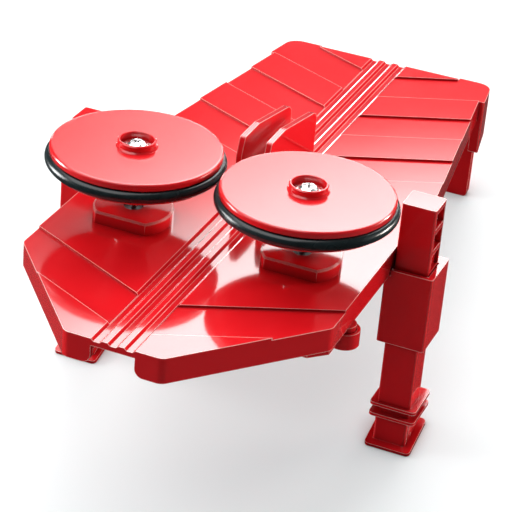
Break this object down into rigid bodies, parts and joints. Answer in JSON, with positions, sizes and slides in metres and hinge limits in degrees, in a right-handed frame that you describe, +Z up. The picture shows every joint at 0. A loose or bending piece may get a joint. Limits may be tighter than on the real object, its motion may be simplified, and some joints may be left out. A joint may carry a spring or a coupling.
{
  "type": "paper plane launcher",
  "caption": "Tabletop launcher for folded paper planes: tilted grooved deck, twin motor-driven rubber-tyred wheels, upright keel guides and sliding side legs.",
  "frame": {"origin": "on the ground, under the middle of the bounding box", "axes": "+X to the right seen from the launching end, +Y from the launching end to the rear, +Z up"},
  "size_m": [0.1388, 0.2472, 0.1134],
  "materials": {
    "red_plastic": "high gloss moulded red plastic",
    "tyre_rubber": "satin black rubber",
    "black_plastic": "matte black plastic",
    "white_plastic": "matte white nylon",
    "steel": "plated steel",
    "chrome": "bright chrome",
    "magnet": "dull sintered ferrite",
    "brass": "turned brass",
    "cell_wrap": "printed foil sleeve",
    "red_insulation": "soft red insulation",
    "black_insulation": "soft black insulation"
  },
  "bodies": {
    "base": {"deck": "red_plastic", "rear_stand": "red_plastic", "underside_tray": "red_plastic", "left_keel_fin": "red_plastic", "right_keel_fin": "red_plastic", "left_motor_housing": "red_plastic", "right_motor_housing": "red_plastic", "left_motor_retainer": "red_plastic", "right_motor_retainer": "red_plastic", "left_motor_can": "steel", "right_motor_can": "steel", "left_motor_magnets": "magnet", "right_motor_magnets": "magnet", "left_motor_end_cap": "white_plastic", "right_motor_end_cap": "white_plastic", "left_leg_sleeve": "red_plastic", "right_leg_sleeve": "red_plastic", "battery_box": "black_plastic", "battery_door": "red_plastic", "battery_cell_1": "cell_wrap", "battery_cell_2": "cell_wrap", "battery_cell_3": "cell_wrap", "battery_cell_4": "cell_wrap", "contact_plates": "steel", "contact_springs": "steel", "switch_body": "black_plastic", "red_wires": "red_insulation", "black_wires": "black_insulation", "tray_screws": "steel", "sleeve_screws": "steel", "retainer_screws": "steel", "battery_box_screws": "steel", "battery_door_screw": "steel"},
    "left_wheel": {"left_motor_rotor": "steel", "left_hub_adapter": "brass", "left_wheel_lower_disc": "red_plastic", "left_wheel_upper_disc": "red_plastic", "left_tyre": "tyre_rubber", "left_hub_screw": "chrome"},
    "right_wheel": {"right_motor_rotor": "steel", "right_hub_adapter": "brass", "right_wheel_lower_disc": "red_plastic", "right_wheel_upper_disc": "red_plastic", "right_tyre": "tyre_rubber", "right_hub_screw": "chrome"},
    "left_leg_body": {"left_leg": "red_plastic"},
    "right_leg_body": {"right_leg": "red_plastic"},
    "switch_slider": {"switch_knob": "black_plastic"}
  },
  "joints": [
    {"name": "left_wheel_spin", "type": "hinge", "parent": "base", "child": "left_wheel", "pos_m": [-0.0305, -0.04117, 0.10225], "axis": [0, 0.2385, 0.9711], "continuous": true},
    {"name": "right_wheel_spin", "type": "hinge", "parent": "base", "child": "right_wheel", "pos_m": [0.0305, -0.04117, 0.10225], "axis": [0, 0.2385, 0.9711], "continuous": true},
    {"name": "left_leg_slide", "type": "slide", "parent": "base", "child": "left_leg_body", "axis": [0, 0.2385, 0.9711], "range_m": [-0.016, 0.024]},
    {"name": "right_leg_slide", "type": "slide", "parent": "base", "child": "right_leg_body", "axis": [0, 0.2385, 0.9711], "range_m": [-0.016, 0.024]},
    {"name": "switch_slide", "type": "slide", "parent": "base", "child": "switch_slider", "axis": [1, 0, 0], "range_m": [0, 0.003]}
  ]
}
